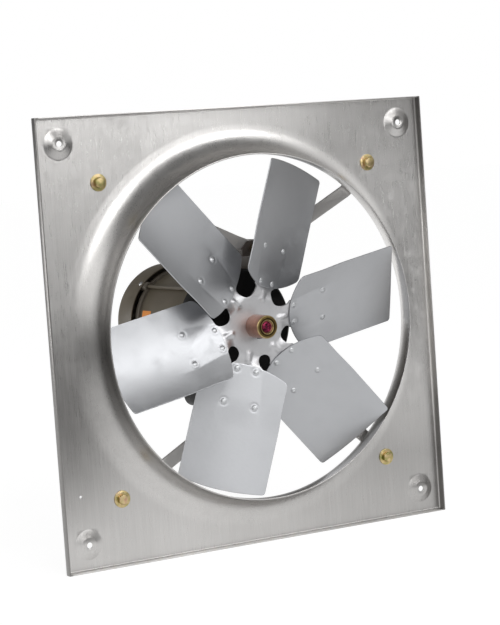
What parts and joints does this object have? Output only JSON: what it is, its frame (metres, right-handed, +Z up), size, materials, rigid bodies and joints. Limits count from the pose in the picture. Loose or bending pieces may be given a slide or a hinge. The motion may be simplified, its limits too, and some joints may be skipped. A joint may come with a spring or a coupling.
{
  "type": "explosion-proof exhaust fan",
  "caption": "Square panel exhaust fan: drawn round orifice, riveted sheet-metal propeller and a direct-drive explosion-proof motor held by flat straps.",
  "frame": {"origin": "on the shaft axis, at the front face of the panel sheet, which is the wall bolt pattern's centre to within the height of its raised bosses", "axes": "-Y towards the discharge side, which is the side with the rim and the collar, +Y towards the motor, +Z up"},
  "size_m": [0.6604, 0.3262, 0.6604],
  "materials": {
    "panel_steel": "brushed bare steel sheet",
    "strap_steel": "mill-finish flat steel bar",
    "mount_steel": "dark brown semi-gloss paint",
    "yellow_zinc": "yellow zinc plate",
    "motor_paint": "taupe semi-gloss paint",
    "motor_iron": "taupe paint over castings",
    "black_iron": "black satin paint over castings",
    "bright_steel": "bright zinc plate",
    "lamination": "stacked electrical steel",
    "copper_wire": "varnished copper wire",
    "black_plastic": "moulded black plastic",
    "green_screw": "green plate",
    "plate_aluminium": "satin aluminium",
    "orange_vinyl": "orange film",
    "shaft_end": "ground steel, with a dyed end",
    "cast_aluminium": "die-cast aluminium",
    "black_rubber": "moulded rubber",
    "bush_copper": "copper-coloured turned bush",
    "black_screw": "black oxide",
    "spider_steel": "pressed bare steel",
    "blade_steel": "semi-gloss bare steel sheet",
    "rivet_steel": "pressed rivet heads"
  },
  "bodies": {
    "housing": {"orifice_panel": "panel_steel", "strap_upper_left": "strap_steel", "strap_upper_right": "strap_steel", "strap_lower_left": "strap_steel", "strap_lower_right": "strap_steel", "panel_bolts": "yellow_zinc", "panel_washers": "yellow_zinc", "panel_nuts": "yellow_zinc", "motor_mount_plate": "mount_steel", "mount_bolts": "yellow_zinc", "mount_nuts": "yellow_zinc", "motor_base": "motor_paint", "base_bolts": "yellow_zinc", "base_nuts": "yellow_zinc", "motor_shell": "motor_paint", "front_end_bell": "black_iron", "rear_end_bell": "motor_iron", "tie_rods": "motor_paint", "stator_core": "lamination", "stator_winding": "copper_wire", "front_bearing_outer_race": "bright_steel", "rear_bearing_outer_race": "bright_steel", "wave_washer": "bright_steel", "bearing_cap": "black_iron", "bearing_cap_screws": "bright_steel", "conduit_box": "black_iron", "conduit_cover": "black_iron", "conduit_cover_screws": "bright_steel", "terminal_block": "black_plastic", "ground_screw": "green_screw", "fan_shroud": "motor_paint", "shroud_screws": "bright_steel", "nameplate": "plate_aluminium", "nameplate_rivets": "plate_aluminium", "orange_label": "orange_vinyl"},
    "propeller": {"motor_shaft": "shaft_end", "rotor_core": "lamination", "rotor_end_rings": "cast_aluminium", "front_bearing_inner_race": "bright_steel", "rear_bearing_inner_race": "bright_steel", "front_bearing_balls": "bright_steel", "rear_bearing_balls": "bright_steel", "shaft_slinger": "black_rubber", "cooling_fan": "black_plastic", "cooling_fan_screw": "bright_steel", "hub_bush": "bush_copper", "hub_set_screws": "black_screw", "hub_spider": "spider_steel", "blade_1": "blade_steel", "blade_2": "blade_steel", "blade_3": "blade_steel", "blade_4": "blade_steel", "blade_5": "blade_steel", "blade_6": "blade_steel", "blade_rivets": "rivet_steel"}
  },
  "joints": [
    {"name": "propeller_spin", "type": "hinge", "parent": "housing", "child": "propeller", "pos_m": [0, 0, 0], "axis": [0, 1, 0], "continuous": true}
  ]
}
